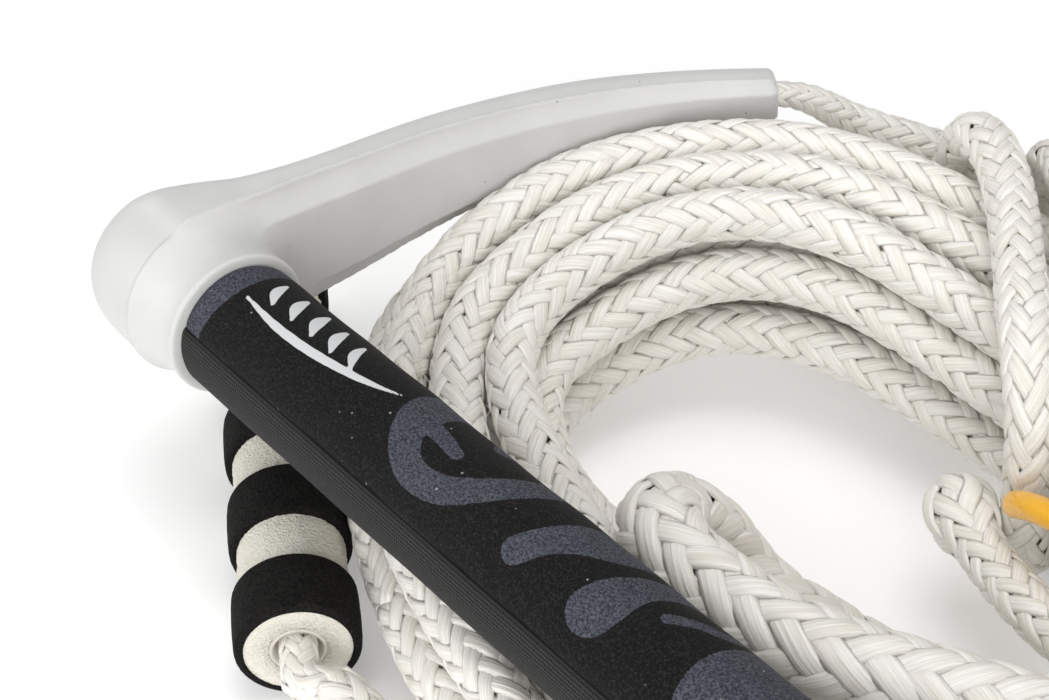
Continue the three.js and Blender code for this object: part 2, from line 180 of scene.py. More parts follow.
def resample(path, step):
    """Points at equal steps along a Catmull-Rom curve through path."""
    path = np.asarray(path, float)
    s = lengths(path)
    tangent = np.gradient(path, s, axis=0)
    count = max(3, int(round(s[-1] / step)) + 1)
    at = np.linspace(0, s[-1], count)
    i = np.clip(np.searchsorted(s, at, side="right") - 1, 0, len(s) - 2)
    width = (s[i + 1] - s[i])[:, None]
    t = (at - s[i])[:, None] / width
    h00, h10 = 2 * t**3 - 3 * t**2 + 1, t**3 - 2 * t**2 + t
    h01, h11 = -2 * t**3 + 3 * t**2, t**3 - t**2
    return h00 * path[i] + h10 * width * tangent[i] + h01 * path[i + 1] + h11 * width * tangent[i + 1]


def blurred(values, reach):
    """A running average along the first axis, with its ends held."""
    reach = min(reach, len(values) - 2)
    kernel = np.hanning(2 * reach + 3)[1:-1]
    kernel /= kernel.sum()
    flat = values.reshape(len(values), -1)
    padded = np.concatenate([2 * flat[0] - flat[reach:0:-1], flat, 2 * flat[-1] - flat[-2 : -reach - 2 : -1]])
    out = np.stack([np.convolve(column, kernel, "valid") for column in padded.T], -1)
    return out.reshape(values.shape)


def rope_rings(node):
    """The middles of a CAD rope's rings, followed from one end cap to the other."""
    corners = corners_of(node)
    _, first, back = np.unique(np.round(corners, 3), axis=0, return_index=True, return_inverse=True)
    corners = corners[first]
    back = back.ravel()
    triangles = np.array([[back[i] for i in p.vertices] for p in frame["nodes"][node].data.polygons])
    a, b, c = (corners[triangles[:, i]] for i in range(3))
    normal = unit(np.cross(b - a, c - a))
    planes = {}
    for index, (n, p) in enumerate(zip(normal, a)):
        planes.setdefault((*np.round(n, 2), round(float(n @ p), 1)), []).append(index)
    around = [set() for _ in corners]
    for triangle in triangles:
        for vertex in triangle:
            around[vertex].update(triangle)
    # An end cap is four flat triangles or more on six corners that all lie as far from their middle.
    groups = [np.unique(triangles[ids]) for ids in planes.values() if len(ids) >= 4]
    spread = [np.linalg.norm(corners[g] - corners[g].mean(0), axis=1) for g in groups]
    edge = next(set(g) for g, d in zip(groups, spread) if len(g) == 6 and np.ptp(d) < 0.1 * d.mean())
    seen, rings = set(edge), [corners[list(edge)].mean(0)]
    while True:
        edge = set().union(*[around[i] for i in edge]) - seen
        if not edge:
            return np.array(rings)
        rings.append(corners[list(edge)].mean(0))
        seen |= edge


def joined(*paths, touch=3.0):
    """One path through several, each turned so that its near end follows on. Ends that touch are merged."""

    def apart(a, b):
        return np.linalg.norm(a - b)

    line = list(paths[0])
    ends = paths[1][0], paths[1][-1]
    if min(apart(line[0], e) for e in ends) < min(apart(line[-1], e) for e in ends):
        line.reverse()
    for path in paths[1:]:
        path = list(path)
        if apart(line[-1], path[-1]) < apart(line[-1], path[0]):
            path.reverse()
        if apart(line[-1], path[0]) < touch:
            path = path[1:]
        line += path
    return np.array(line)


def wander(count, step, reach, size):
    """A smooth random sideways drift along a path, nought at both ends."""
    noise = rng.normal(size=(count, 3))
    cells = max(3, int(reach / step))
    drift = blurred(blurred(noise, cells), cells)
    drift *= size / max(drift.std(), 1e-9)
    s = np.arange(count) * step
    ends = smooth_step(0, 40, s) * smooth_step(0, 40, s[::-1])
    return drift * ends[:, None]


def transported_frame(path, twist=0.0):
    """Two unit vectors across the path that don't spin along it, turned by twist radians per mm."""
    tangent = unit(np.gradient(path, axis=0))
    across = np.empty_like(path)
    start = np.eye(3)[2 if abs(tangent[0][2]) < 0.9 else 0]
    across[0] = unit(start - tangent[0] * (start @ tangent[0]))
    for i in range(1, len(path)):
        v = across[i - 1] - tangent[i] * (across[i - 1] @ tangent[i])
        across[i] = v / np.linalg.norm(v)
    side = np.cross(tangent, across)
    turn = (twist * lengths(path))[:, None]
    return np.cos(turn) * across + np.sin(turn) * side, np.cos(turn) * side - np.sin(turn) * across


def rings_about(path, radius, sides, twist=0.0, wide=1.0):
    """A ring of points square to the path at each of its points, wide times wider one way than the other."""
    u, v = transported_frame(path, twist)
    radius, wide = (np.broadcast_to(value, len(path))[:, None] for value in (radius, wide))
    u = (radius * u * wide)[:, None]
    v = (radius * v / wide)[:, None]
    around = np.linspace(0, 2 * math.pi, sides, endpoint=False)[None, :, None]
    return path[:, None] + np.cos(around) * u + np.sin(around) * v


# ---- Braided rope ----

CARRIERS = 8  # strands in each direction
STRAND_SIDES = 8
# Half a strand's section across it and out of the rope, as shares of its half width and half thickness.
STRAND_SECTION = np.array(
    [(1, 0), (0.66, 0.86), (0.24, 1), (-0.24, 1), (-0.66, 0.86), (-1, 0), (-0.5, -0.9), (0.5, -0.9)]
)
# Shares of the rope's radius.
STRAND_HALF_WIDTH = 0.31
STRAND_HALF_THICKNESS = 0.08
STRAND_DIP = 0.06  # how far a strand's middle moves in or out of its mean depth
HOLLOW = 0.7  # the dark hollow inside the strands
HOLLOW_SIDES = 10
# The hollow's depth, low enough that the rope material paints it wholly in the dark tan of the painted shade,
# so the hollow stands for the shade seen between the strands.
HOLLOW_DEPTH = 0.55


def braid(path, radius, lay, seed, twist=0.0, wide=1.0):
    """A hollow braid: eight strands each way, over two and under two, so that they lie in chevrons.

    path holds points at equal steps, radius the rope's outer radius at each, and lay the length in which a
    strand of rope of radius ROPE_R goes once round. The first three arrays returned are by strand, point of
    the path and point of the section: its place, [distance along the strand, place across it, the strand's
    number], and its distance from the middle as a share of radius. The last is the hollow's rings.
    """
    draw = np.random.default_rng(seed)
    count = len(path)
    radius = np.broadcast_to(radius, count).astype(float)
    wide = np.broadcast_to(wide, count)
    hollow = rings_about(path, HOLLOW * radius, HOLLOW_SIDES, twist, wide)
    tangent = unit(np.gradient(path, axis=0))
    u, v = transported_frame(path, twist)
    rate = 2 * math.pi / (lay * radius / ROPE_R)
    turned = np.r_[0, np.cumsum((rate[1:] + rate[:-1]) / 2 * np.diff(lengths(path)))]
    places, marks, depths = [], [], []
    ring_u, ring_n = STRAND_SECTION.T
    for k in range(2 * CARRIERS):
        way = 1 if k < CARRIERS else -1
        fullness = 1 + 0.27 * blurred(draw.normal(size=count), 25) + 0.05 * draw.normal()
        sway = blurred(draw.normal(size=count), 9) * 0.3
        angle = 2 * math.pi * (k % CARRIERS) / CARRIERS + way * turned + sway
        lift = np.clip(1.4 * np.cos(CARRIERS / 2 * angle - math.pi / 4), -1, 1) * way
        thick = STRAND_HALF_THICKNESS * radius * (1 + 0.5 * (fullness - 1))
        middle = radius * (1 - STRAND_HALF_THICKNESS - STRAND_DIP * (1 - lift))
        cosine, sine = np.cos(angle)[:, None], np.sin(angle)[:, None]
        out = unit(cosine * u + sine / wide[:, None] * v)
        centre = path + middle[:, None] * (cosine * u * wide[:, None] + sine * v / wide[:, None])
        along = unit(np.gradient(centre, axis=0))
        across = unit(np.cross(along, out))
        normal = np.cross(across, along)
        half = STRAND_HALF_WIDTH * radius * fullness * (1 + 0.04 * lift)
        # The strand's width bends round the rope as far as it lies across it.
        wrap = np.abs((across * unit(np.cross(tangent, out))).sum(-1))
        reach_u = half[:, None] * ring_u
        fall = (reach_u * wrap[:, None]) ** 2 / (2.1 * middle[:, None])
        reach_n = thick[:, None] * ring_n - fall
        section = centre[:, None] + reach_u[..., None] * across[:, None]
        section = section + reach_n[..., None] * normal[:, None]
        places.append(section)
        number = np.full(reach_u.shape, draw.uniform(0, 1000))
        distance = np.broadcast_to(lengths(centre)[:, None], reach_u.shape)
        marks.append(np.stack([distance, reach_u, number], -1))
        depths.append(np.linalg.norm(section - path[:, None], axis=-1) / radius[:, None])
    return np.array(places), np.array(marks), np.array(depths), hollow


def braid_object(name, places, marks, depths, hollow):
    """One mesh of sixteen strands and the hollow inside them."""
    count = len(hollow)
    inside = hollow.reshape(-1, 3)
    faces = [tube_faces(count, STRAND_SIDES, k * count * STRAND_SIDES) for k in range(2 * CARRIERS)]
    faces.append(tube_faces(count, HOLLOW_SIDES, 2 * CARRIERS * count * STRAND_SIDES))
    # The depth attribute sets the rope material's painted shade in the gaps; the hollow's HOLLOW_DEPTH paints
    # it wholly in that shade colour.
    attributes = {
        "strand": np.concatenate([marks.reshape(-1, 3), np.zeros_like(inside)]),
        "depth": np.concatenate([depths.ravel(), np.full(len(inside), HOLLOW_DEPTH)]),
    }
    points = np.concatenate([places.reshape(-1, 3), inside])
    return mesh_object(name, points, np.concatenate(faces), attributes)


def rope_piece(name, path, radius, body, nodes, lay, seed, twist=0.0):
    obj = braid_object(name, *braid(path, radius, lay, seed, twist))
    return finish_piece(obj, ROPE, body, nodes)


# ---- Materials ----


class Shader:
    """A material's node tree, with the nodes added one call at a time."""

    def __init__(self, name):
        self.material = bpy.data.materials.new(name)
        self.material.use_nodes = True
        self.tree = self.material.node_tree
        self.surface = self.tree.nodes["Principled BSDF"]

    def add(self, kind, inputs=None, **settings):
        node = self.tree.nodes.new(kind)
        for key, value in settings.items():
            setattr(node, key, value)
        self.set(node, inputs or {})
        return node

    def set(self, node, inputs):
        for key, value in inputs.items():
            if isinstance(value, bpy.types.NodeSocket):
                self.tree.links.new(value, node.inputs[key])
            else:
                node.inputs[key].default_value = value

    def math(self, operation, a, b=0.0):
        return self.add("ShaderNodeMath", {0: a, 1: b}, operation=operation).outputs[0]

    def plus(self, a, b):
        return self.math("ADD", a, b)

    def times(self, a, b):
        return self.math("MULTIPLY", a, b)

    def ramp(self, value, low, high):
        """0 below low, 1 above high, smooth between."""
        inputs = {"Value": value, "From Min": low, "From Max": high}
        return self.add("ShaderNodeMapRange", inputs, interpolation_type="SMOOTHSTEP").outputs["Result"]

    def mix(self, share, a, b):
        return self.add("ShaderNodeMix", {0: share, 6: a, 7: b}, data_type="RGBA").outputs[2]

    def attribute(self, name, output="Fac"):
        return self.add("ShaderNodeAttribute", attribute_name=name).outputs[output]

    def place(self):
        return self.add("ShaderNodeTexCoord").outputs["Object"]

    def scaled(self, vector, scale):
        return self.add("ShaderNodeMapping", {"Vector": vector, "Scale": scale}).outputs[0]

    def noise(self, vector, scale, detail=3.0, rough=0.5):
        inputs = {"Vector": vector, "Scale": scale, "Detail": detail, "Roughness": rough}
        return self.add("ShaderNodeTexNoise", inputs).outputs["Fac"]

    def bump(self, height, strength, distance):
        inputs = {"Height": height, "Strength": strength, "Distance": distance}
        return self.add("ShaderNodeBump", inputs).outputs[0]

    def done(self, **inputs):
        self.set(self.surface, {key.replace("_", " "): value for key, value in inputs.items()})
        return self.material


def rgb(r, g, b):
    return (r, g, b, 1.0)


def rope_material():
    s = Shader("braided polypropylene")
    strand = s.attribute("strand", "Vector")
    depth = s.attribute("depth")
    streak = s.noise(s.scaled(strand, (0.07, 2.7, 1.0)), 1.0, 4.0, 0.65)
    clumps = s.noise(s.scaled(strand, (0.05, 0.95, 1.0)), 1.0, 2.0, 0.4)
    tone = s.noise(s.scaled(strand, (0.006, 0.0, 1.0)), 1.0, 1.0)
    ivory = s.mix(s.ramp(tone, 0.3, 0.7), rgb(0.80, 0.76, 0.68), rgb(0.86, 0.84, 0.78))
    low = s.mix(s.ramp(clumps, 0.3, 0.55), rgb(0.78, 0.735, 0.65), ivory)
    bright = s.mix(s.ramp(streak, 0.42, 0.68), low, rgb(0.968, 0.95, 0.905))
    # Painted shade: points that lie deep in the braid, in the gaps between the strands and on the hollow,
    # take a dark tan colour that stands for the shade falling there.
    colour = s.mix(s.ramp(depth, 0.64, 0.80), rgb(0.58, 0.48, 0.34), bright)
    height = s.plus(s.times(streak, 0.55), clumps)
    normal = s.bump(height, 0.85, 0.0005)
    return s.done(
        Base_Color=colour,
        Roughness=0.4,
        Normal=normal,
        Sheen_Weight=0.2,
        Sheen_Roughness=0.4,
        Subsurface_Weight=0.15,
        Subsurface_Radius=(0.004, 0.0035, 0.003),
        Subsurface_Scale=0.4,
    )


def rubber_material():
    s = Shader("moulded white rubber")
    place = s.place()
    cloud = s.noise(place, 55.0, 3.0)
    colour = s.mix(s.ramp(cloud, 0.35, 0.65), rgb(0.60, 0.596, 0.588), rgb(0.63, 0.626, 0.62))
    specks = s.add("ShaderNodeTexVoronoi", {"Vector": place, "Scale": 170.0}).outputs["Distance"]
    where = s.noise(place, 40.0, 2.0)
    dust = s.times(s.ramp(specks, 0.05, 0.03), s.ramp(where, 0.5, 0.56))
    colour = s.mix(dust, colour, rgb(0.3, 0.27, 0.24))
    fine = s.noise(place, 900.0, 2.0)
    broad = s.noise(place, 70.0, 2.0)
    normal = s.bump(s.plus(fine, s.times(broad, 4.0)), 0.12, 0.0002)
    return s.done(
        Base_Color=colour,
        Roughness=s.plus(s.times(broad, 0.12), 0.4),
        Normal=normal,
        Specular_IOR_Level=0.4,
        Subsurface_Weight=0.08,
        Subsurface_Radius=(0.004, 0.004, 0.004),
    )


def grip_material():
    s = Shader("printed grip fabric")
    place = s.place()
    grain = s.noise(place, 1900.0, 4.0, 0.75)
    blotch = s.noise(place, 420.0, 3.0, 0.6)
    black = s.mix(s.ramp(grain, 0.47, 0.68), rgb(0.002, 0.0018, 0.0018), rgb(0.024, 0.0205, 0.0195))
    grey = s.mix(s.ramp(grain, 0.38, 0.66), rgb(0.02, 0.0215, 0.029), rgb(0.10, 0.105, 0.13))
    grey = s.mix(s.ramp(blotch, 0.55, 0.75), grey, rgb(0.05, 0.053, 0.066))
    wobble = s.times(s.math("SUBTRACT", blotch, 0.5), 0.5)
    printed = s.ramp(s.plus(s.attribute("print"), wobble), 0.12, -0.12)
    marked = s.ramp(s.plus(s.attribute("mark"), s.times(wobble, 0.4)), 0.07, -0.07)
    colour = s.mix(printed, black, grey)
    colour = s.mix(marked, colour, rgb(0.62, 0.63, 0.64))
    lint = s.add("ShaderNodeTexVoronoi", {"Vector": place, "Scale": 330.0}).outputs["Distance"]
    some = s.noise(place, 210.0, 1.0)
    fluff = s.times(s.ramp(lint, 0.11, 0.06), s.ramp(some, 0.56, 0.62))
    colour = s.mix(fluff, colour, rgb(0.3, 0.29, 0.28))
    normal = s.bump(s.plus(grain, s.times(blotch, 0.6)), 0.5, 0.0002)
    return s.done(
        Base_Color=colour,
        Roughness=0.8,
        Normal=normal,
        Specular_IOR_Level=0.18,
        Sheen_Weight=0.03,
        Sheen_Roughness=0.5,
    )


def tape_material():
    s = Shader("ribbed seam tape")
    place = s.place()
    around = s.attribute("around")
    wobble = s.noise(place, 700.0, 2.0)
    phase = s.plus(s.times(around, 7.2), s.times(wobble, 1.6))
    rib = s.math("SINE", phase)
    knit = s.math("SINE", s.plus(s.times(s.attribute("along"), 9.5), wobble))
    height = s.plus(rib, s.times(knit, 0.6))
    grain = s.noise(place, 2400.0, 2.0, 0.7)
    raised = s.ramp(s.plus(height, grain), -0.6, 1.9)
    colour = s.mix(raised, rgb(0.008, 0.0075, 0.0075), rgb(0.033, 0.0315, 0.0305))
    seam = s.ramp(s.attribute("edge"), 0.55, 0.15)
    colour = s.mix(seam, colour, rgb(0.006, 0.006, 0.006))
    return s.done(
        Base_Color=colour,
        Roughness=0.85,
        Normal=s.bump(height, 0.6, 0.0002),
        Specular_IOR_Level=0.2,
        Sheen_Weight=0.04,
    )


def foam_material(name, dark, light, grain_scale, strength):
    s = Shader(name)
    place = s.place()
    grain = s.noise(place, grain_scale, 4.0, 0.75)
    broad = s.noise(place, grain_scale / 7, 2.0)
    pores = s.add("ShaderNodeTexVoronoi", {"Vector": place, "Scale": grain_scale * 0.8}).outputs["Distance"]
    colour = s.mix(s.ramp(s.plus(grain, s.times(broad, 0.15)), 0.35, 0.75), dark, light)
    height = s.plus(grain, s.times(pores, 0.7))
    return s.done(
        Base_Color=colour,
        Roughness=0.88,
        Normal=s.bump(height, strength, 0.0006),
        Specular_IOR_Level=0.12,
    )


def plain_material(name, colour, rough, metallic=0.0, coat=0.0):
    s = Shader(name)
    place = s.place()
    cloud = s.noise(place, 300.0, 3.0)
    shade = s.mix(s.ramp(cloud, 0.3, 0.7), rgb(*(0.9 * c for c in colour[:3])), colour)
    return s.done(
        Base_Color=shade,
        Roughness=s.plus(s.times(cloud, 0.1), rough - 0.05),
        Metallic=metallic,
        Coat_Weight=coat,
        Normal=s.bump(cloud, 0.1, 0.0002),
    )


ROPE = rope_material()
RUBBER = rubber_material()
GRIP = grip_material()
TAPE = tape_material()
FOAM = foam_material("black foam", rgb(0.0015, 0.0014, 0.0014), rgb(0.019, 0.0178, 0.0166), 1500.0, 1.0)
CREAM = foam_material("cream foam", rgb(0.80, 0.765, 0.65), rgb(0.93, 0.905, 0.82), 1700.0, 0.9)
METAL = plain_material("aluminium tube", rgb(0.75, 0.76, 0.78), 0.35, metallic=1.0)
PLASTIC = plain_material("moulded plastic", rgb(0.66, 0.63, 0.55), 0.45)
BUNGEE = plain_material("elastic core", rgb(0.95, 0.48, 0.015), 0.28, coat=0.6)


# ---- Turned pieces ----


def turned_piece(name, profile, origin, axis, sides=96, roughen=0.0):
    """A ring-shaped solid turned about an axis from origin; profile is its outline of [along, radius]."""
    axis = np.asarray(axis, float)
    u = unit(np.cross(axis, [0, 0, 1.0]))
    v = np.cross(axis, u)
    angle = np.linspace(0, 2 * math.pi, sides, endpoint=False)
    circle = np.cos(angle)[:, None] * u + np.sin(angle)[:, None] * v
    along, radius = (column[:, None, None] for column in np.asarray(profile, float).T)
    rows = len(profile)
    if roughen:
        radius = radius + roughen * rng.normal(size=(rows, sides, 1))
    points = (origin + along * axis + radius * circle).reshape(-1, 3)
    return mesh_object(name, points, grid_faces(rows + 1, sides, True) % (rows * sides))


def rounded_profile(x0, x1, inner, outer, radius, step=1.0, bulge=0.0):
    """The outline of a sleeve whose outer edges are rounded, with points about every step mm."""
    angle = np.linspace(0, math.pi / 2, 6)
    inset, drop = radius * (1 - np.sin(angle)), radius * (1 - np.cos(angle))
    left = np.stack([x0 + inset, outer - drop], -1)[::-1]
    right = np.stack([x1 - inset, outer - drop], -1)
    along = np.arange(x0 + radius + step, x1 - radius - step / 2, step)
    share = (along - x0) / (x1 - x0)
    top = np.stack([along, outer + bulge * np.sin(math.pi * share)], -1)
    inside = np.stack([[x1, x0], [inner, inner]], -1)
    return np.concatenate([left, top, right, inside])


# ---- Solids from a distance field ----


def smooth_min(a, b, k):
    h = np.clip(0.5 + 0.5 * (b - a) / k, 0, 1)
    return b + (a - b) * h - k * h * (1 - h)


def smooth_max(a, b, k):
    return -smooth_min(-a, -b, k)


def surface_of(field, low, high, step):
    """The zero surface of field(x, y, z) as points and quads, each point drawn onto the surface."""
    axes = [np.arange(a, b + step, step) for a, b in zip(low, high)]
    values = field(*np.meshgrid(*axes, indexing="ij", sparse=True))
    cells = tuple(n - 1 for n in values.shape)
    turns = [[axis, (axis + 1) % 3, (axis + 2) % 3] for axis in range(3)]

    # One point in each cell that the surface crosses: the mean of the crossings on the cell's edges.
    total, count = np.zeros(cells + (3,)), np.zeros(cells)
    for order in turns:
        f, sums, hits = (np.moveaxis(array, order, [0, 1, 2]) for array in (values, total, count))
        a, b = f[:-1], f[1:]
        cross = (a < 0) != (b < 0)
        share = np.where(cross, a / np.where(a == b, 1, a - b), 0)
        places = np.indices(cross.shape) + np.stack([share, 0 * share, 0 * share])
        for j in (0, 1):
            for k in (0, 1):
                part = (slice(None), slice(j, j + hits.shape[1]), slice(k, k + hits.shape[2]))
                hits += cross[part]
                for place, axis in zip(places, order):
                    sums[..., axis] += np.where(cross[part], place[part], 0)
    active = count > 0
    points = total[active] / count[active][:, None] * step + np.array(low)

    # One quad round each crossed edge, facing out.
    numbers = np.full(cells, -1)
    numbers[active] = np.arange(active.sum())
    faces = []
    for order in turns:
        f, n = (np.moveaxis(array, order, [0, 1, 2]) for array in (values, numbers))
        a, b = f[:-1, 1:-1, 1:-1], f[1:, 1:-1, 1:-1]
        quad = np.stack([n[:, :-1, :-1], n[:, 1:, :-1], n[:, 1:, 1:], n[:, :-1, 1:]], -1)
        leaves, enters = (a < 0) & (b >= 0), (a >= 0) & (b < 0)
        faces += [quad[leaves], quad[enters][:, ::-1]]

    nudge = 0.05
    for _ in range(4):
        rise = [field(*(points + nudge * e).T) - field(*(points - nudge * e).T) for e in np.eye(3)]
        slope = np.stack(rise, -1) / (2 * nudge)
        shift = -(field(*points.T) / np.maximum((slope**2).sum(-1), 0.3))[:, None] * slope
        points = points + np.clip(shift, -step / 2, step / 2) * 0.8
    return points, np.concatenate(faces)


# ---- Arms ----

RIM_R = 17.3  # the hub's rim round the grip
HUB_R = 19.3
HUB_RIDGE = 14.4  # from the rim out to the hub's ridge
HUB_DEPTH = 40.0  # and to its nose
LIP = 0.5  # how far the crisp edge stands above the surface behind it
SOCKET_R = 11.4
SOCKET_DEPTH = 9.3
ARM_ROOT_Y = 12.0
ARM_TIP_Y = 145.8
ARM_ROOT_HALF_HEIGHT = 18.9
ARM_TIP_HALF_HEIGHT = 6.0
CREASE_SHARE = 0.62  # the inner face's flat band, as a share of its half height


def arm_middle_line():
    """The left arm's middle line seen from above: the rope's that runs inside it, and on through the hub."""
    rings = rope_rings("bridle_line")
    left = rings[rings[:, 0] < -60]
    if left[0][1] > left[-1][1]:
        left = left[::-1]
    root = np.array([[-HALF_GRIP - 24, -8.0], [-HALF_GRIP - 22, 6.0]])
    return resample(np.concatenate([root, left[left[:, 1] > 20][:, :2]]), 1.5)


ARM_LINE = arm_middle_line()


def arm_place(x, y):
    """For points seen from above: how far they lie inwards of the arm's middle line, and the y of the place
    on that line beside them."""
    x, y = np.broadcast_arrays(x, y)
    flat = np.stack([x.ravel(), y.ravel()], -1)
    tangent = unit(np.gradient(ARM_LINE, axis=0))
    inwards = np.stack([tangent[:, 1], -tangent[:, 0]], -1)
    side, along_y = np.empty(len(flat)), np.empty(len(flat))
    batch = 20000
    for start in range(0, len(flat), batch):
        part = slice(start, start + batch)
        near = ((flat[part][:, None] - ARM_LINE[None]) ** 2).sum(-1).argmin(1)
        offset = flat[part] - ARM_LINE[near]
        side[part] = (offset * inwards[near]).sum(-1)
        along_y[part] = ARM_LINE[near][:, 1] + (offset * tangent[near]).sum(-1) * tangent[near][:, 1]
    return side.reshape(x.shape), along_y.reshape(x.shape)


def arm_field(x, y, z):
    """Signed distance to the left arm and its hub, in millimetres."""
    out = -(x + HALF_GRIP)
    r = np.sqrt(y**2 + z**2)
    side, at_y = arm_place(x, y)
    taper = np.clip((at_y - ARM_ROOT_Y) / (ARM_TIP_Y - ARM_ROOT_Y), 0, 1)
    height = ARM_ROOT_HALF_HEIGHT + (ARM_TIP_HALF_HEIGHT - ARM_ROOT_HALF_HEIGHT) * taper
    root = 1 - smooth_step(6, 34, at_y)
    tip = smooth_step(95, ARM_TIP_Y, at_y)
    top_half = 3.9 + 2.2 * root - 0.9 * tip
    middle_half = 7.6 + 1.2 * root - 1.6 * tip
    tall = np.abs(z)
    crease = CREASE_SHARE * height
    up = np.clip((tall - crease) / (height - crease), 0, 1)
    inner = top_half + (middle_half - top_half) * (1 - up) ** 2.1
    edge = smooth_step(4, 16, y)
    plane = (1 - edge) * (x + HALF_GRIP + HUB_RIDGE) + edge * (side - top_half)

    # Behind the crisp edge: the hub's domed back and the arm's outer face.
    bend = np.clip((out - HUB_RIDGE) / (HUB_DEPTH - HUB_RIDGE), 0, 1)
    back_r = (HUB_R - LIP) * (1 - bend**5) ** 0.4
    hub_back = smooth_max((r - back_r) * 0.9, out - HUB_DEPTH, 2.0)
    high = np.clip((tall - 0.45 * height) / (0.55 * height), 0, 1)
    outer_half = middle_half - 0.2 - (middle_half - top_half + 1.0) * high**2
    arm_back = smooth_max(tall - height + 0.6 * LIP, -side - outer_half, 3.0)
    arm_back = smooth_max(arm_back, -y, 3.0)
    back = smooth_min(hub_back, arm_back, 7.0)
    back = smooth_max(back, plane, 0.35)

    # In front of it: the hub's flare, a curve with t as its parameter, and the arm's creased inner face.
    t = (-12 + np.sqrt(144 + 9.6 * np.clip(out, 0, HUB_RIDGE))) / 4.8
    front_r = RIM_R * (1 - t) ** 2 + 2 * (RIM_R - 2) * t * (1 - t) + HUB_R * t**2
    hub_front = smooth_max((r - front_r) * 0.93, -out, 1.2)
    arm_front = smooth_max((side - inner) * 0.85, tall - height, 0.4)
    arm_front = smooth_max(arm_front, -y, 3.0)
    front = smooth_min(hub_front, arm_front, 5.0)
    front = smooth_max(front, -plane - 0.5, 0.5)

    whole = smooth_min(back, front, 0.25)
    whole = smooth_max(whole, at_y - ARM_TIP_Y, 1.8)
    socket = np.maximum(r - SOCKET_R, out - SOCKET_DEPTH)
    return np.maximum(whole, -socket)


def arms():
    low = np.array([-HALF_GRIP - HUB_DEPTH - 2, -22.0, -21.5])
    high = np.array([-HALF_GRIP + 26, ARM_TIP_Y + 3, 21.5])
    step = 0.58
    points, faces = surface_of(arm_field, low, high, step)
    left = mesh_object("arm_moulding_left", points, faces)
    finish_piece(left, RUBBER, "handle", ["arm_left"])
    mirrored = points * np.array([-1, 1, 1])
    right = mesh_object("arm_moulding_right", mirrored, faces[:, ::-1])
    finish_piece(right, RUBBER, "handle", ["arm_right"])


# ---- Grip ----


def stroke_distance(x, v, path, widths):
    """Signed distance to a stroke whose half width changes along a smooth path."""
    best = np.full(x.shape, np.inf)
    for stroke_x, stroke_v, width in resample(np.c_[path, widths], 0.7):
        best = np.minimum(best, np.hypot(x - stroke_x, v - stroke_v) - width)
    return best


def tape_angles():
    """The first and last angle of the seam tape about the bar, in degrees; 0 is +Y and 90 is up."""
    _, y, z = corners_of("seam_tape").T
    angle = np.degrees(np.arctan2(z, y)) % 360
    return angle.min(), angle.max()


TAPE_START, TAPE_END = tape_angles()

# Printed scrolls: places as (x in mm, angle in degrees), then half widths in mm. The left half of the bar;
# the right half mirrors them about MIRROR_X.
MIRROR_X = 33.0
SHEET_THICKNESS = 0.8
CUFF = 6.2  # width of the printed band at each end
SCROLLS = [
    (
        [(-64, 12), (-63.5, 45), (-62.5, 78), (-60, 100), (-53.5, 118.5), (-45.5, 117), (-38, 98)]
        + [(-32.5, 65), (-31, 12)],
        [4.6, 4.8, 4.6, 3.7, 3.2, 3.2, 3.1, 3.2, 3.8],
    ),
    ([(-61, 80), (-54, 82), (-48.6, 86)], [2.6, 2.0, 1.5]),
    ([(-47, 10), (-47, 30), (-46.5, 45)], [1.5, 3.4, 2.2]),
    ([(-21.8, 113), (-19.6, 98), (-15.5, 75), (-10.5, 48), (-8, 12)], [3.2, 3.3, 4.4, 6.4, 7.2]),
    ([(-0.7, 111), (0.0, 98), (1.5, 75), (4.5, 50), (7, 12)], [5.4, 5.1, 3.8, 3.4, 5.0]),
    ([(10.6, 79), (14.5, 63), (19.5, 46), (21, 30)], [1.4, 1.5, 1.6, 0.9]),
    ([(28, 112), (27.4, 92), (27.6, 70), (28.5, 45), (30, 12)], [5.2, 5.7, 5.4, 5.2, 6.0]),
]
# Plain brush marks near the grip's left end: one row of slanted dashes over a curved underline.
# A dash is its first and middle angles and its half width; the dashes are 7 mm apart.
DASHES = [(60, 74, 1.3), (57, 72, 1.4), (55, 71, 1.5), (57, 72, 1.4), (60, 74, 1.2)]
UNDERLINE = ([(-117, 97), (-104, 101), (-90, 97), (-77, 87), (-70, 76)], [0.4, 1.0, 1.1, 0.8, 0.3])
MARKS = [
    ([(7 * i - 116, low), (7 * i - 114.5, middle), (7 * i - 111, 88)], [0.5, wide, 0.4])
    for i, (low, middle, wide) in enumerate(DASHES)
]
MARKS.append(UNDERLINE)


def print_distance(x, angle, strokes, mirror):
    v = np.radians(angle) * GRIP_R
    best = np.full(x.shape, np.inf)
    for path, widths in strokes:
        places = [(place, math.radians(a) * GRIP_R) for place, a in path]
        best = np.minimum(best, stroke_distance(x, v, places, widths))
        if mirror:
            flipped = [(2 * MIRROR_X - place, a) for place, a in places]
            best = np.minimum(best, stroke_distance(x, v, flipped, widths))
    return best


def sheet_round_bar(start, end, step, fewest):
    """A grid over the bar: x and angle, and how far each point is from the long edges and from the ends."""
    columns = int(2 * HALF_GRIP / step)
    rows = max(fewest, int(math.radians(end - start) * GRIP_R / step))
    x, angle = np.meshgrid(
        np.linspace(-HALF_GRIP, HALF_GRIP, columns), np.linspace(start, end, rows), indexing="ij"
    )
    seam = np.minimum(angle - start, end - angle) * math.radians(GRIP_R)
    return x, angle, seam, HALF_GRIP - np.abs(x)


